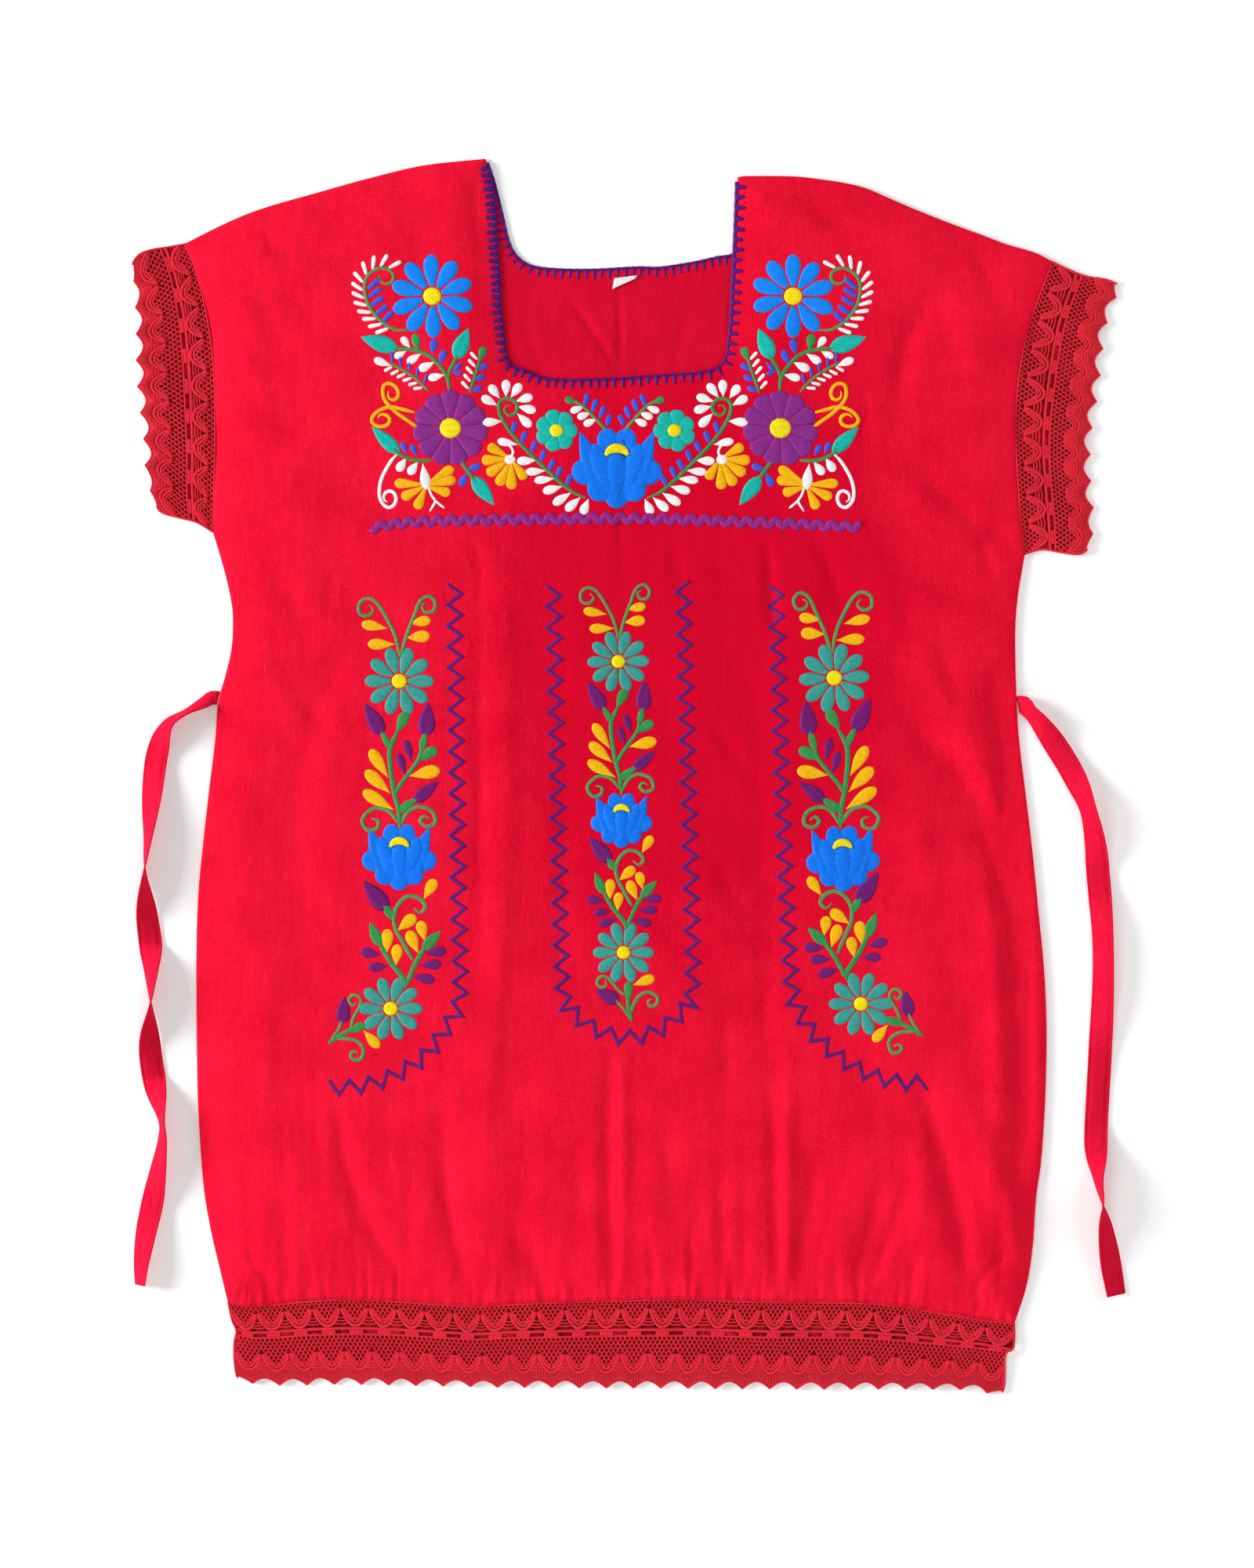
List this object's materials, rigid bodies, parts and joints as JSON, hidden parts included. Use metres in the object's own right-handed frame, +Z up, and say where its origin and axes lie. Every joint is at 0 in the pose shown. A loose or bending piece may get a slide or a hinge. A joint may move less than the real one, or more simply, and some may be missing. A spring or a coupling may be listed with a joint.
{
  "type": "embroidered cotton dress laid flat",
  "caption": "Loose cotton dress laid flat: square neck, lace cuffs and hem, side ties, floral embroidery.",
  "frame": {"origin": "under the middle of the dress's outline, on the surface that it lies on", "axes": "+Z up out of the surface, +Y along the dress from its hem to its neck, +X across it to the right as seen from above"},
  "size_m": [0.6709, 0.8341, 0.0158],
  "materials": {
    "red_cotton": "matt plain-weave cotton",
    "red_lace": "matt machine-made cotton lace",
    "violet_thread": "satin embroidery thread",
    "embroidery_thread": "satin embroidery thread in several colours",
    "white_label": "satin woven tape"
  },
  "bodies": {
    "root": {"front_panel": "red_cotton", "back_panel": "red_cotton", "front_neck_edging": "violet_thread", "back_neck_edging": "violet_thread", "left_cuff_lace_front": "red_lace", "left_cuff_lace_back": "red_lace", "right_cuff_lace_front": "red_lace", "right_cuff_lace_back": "red_lace", "hem_lace_front": "red_lace", "hem_lace_back": "red_lace", "left_tie": "red_cotton", "right_tie": "red_cotton", "neck_label": "white_label"}
  },
  "joints": []
}
